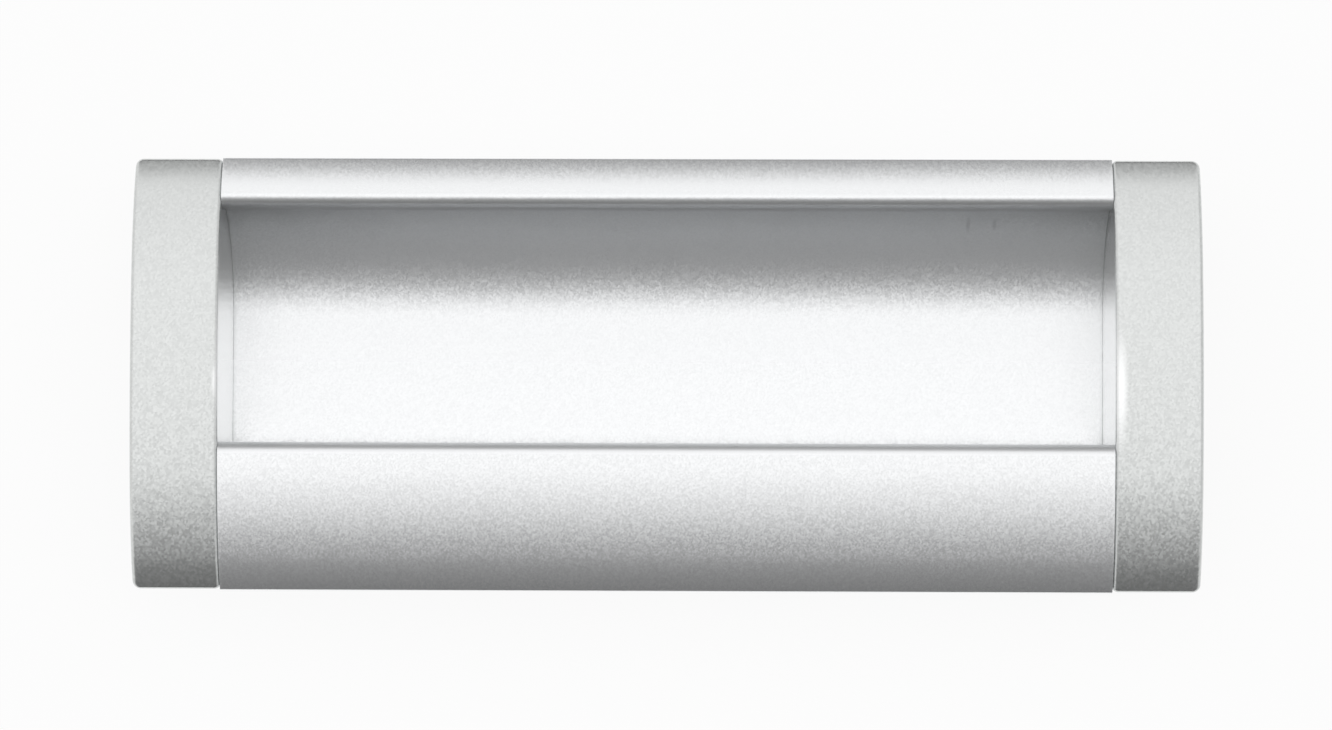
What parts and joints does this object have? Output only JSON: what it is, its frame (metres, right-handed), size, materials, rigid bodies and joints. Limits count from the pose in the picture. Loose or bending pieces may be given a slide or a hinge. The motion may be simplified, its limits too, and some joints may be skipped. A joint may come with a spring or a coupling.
{
  "type": "flush pull",
  "caption": "Recessed cabinet pull: an extruded aluminium trough with a finger recess between a narrow and a wide arched lip, closed by cast end caps with tapped bosses.",
  "frame": {"origin": "under the middle of the pull, on the floor its back lies on", "axes": "+X along the pull, +Y towards the narrow upper lip, +Z out of the door face"},
  "size_m": [0.1046, 0.0426, 0.0125],
  "materials": {
    "satin_anodised_aluminium": "fine satin, clear anodised",
    "silver_lacquer": "silver metallic lacquer on a zinc casting"
  },
  "bodies": {
    "root": {"profile": "satin_anodised_aluminium", "end_cap_left": "silver_lacquer", "end_cap_right": "silver_lacquer"}
  },
  "joints": []
}
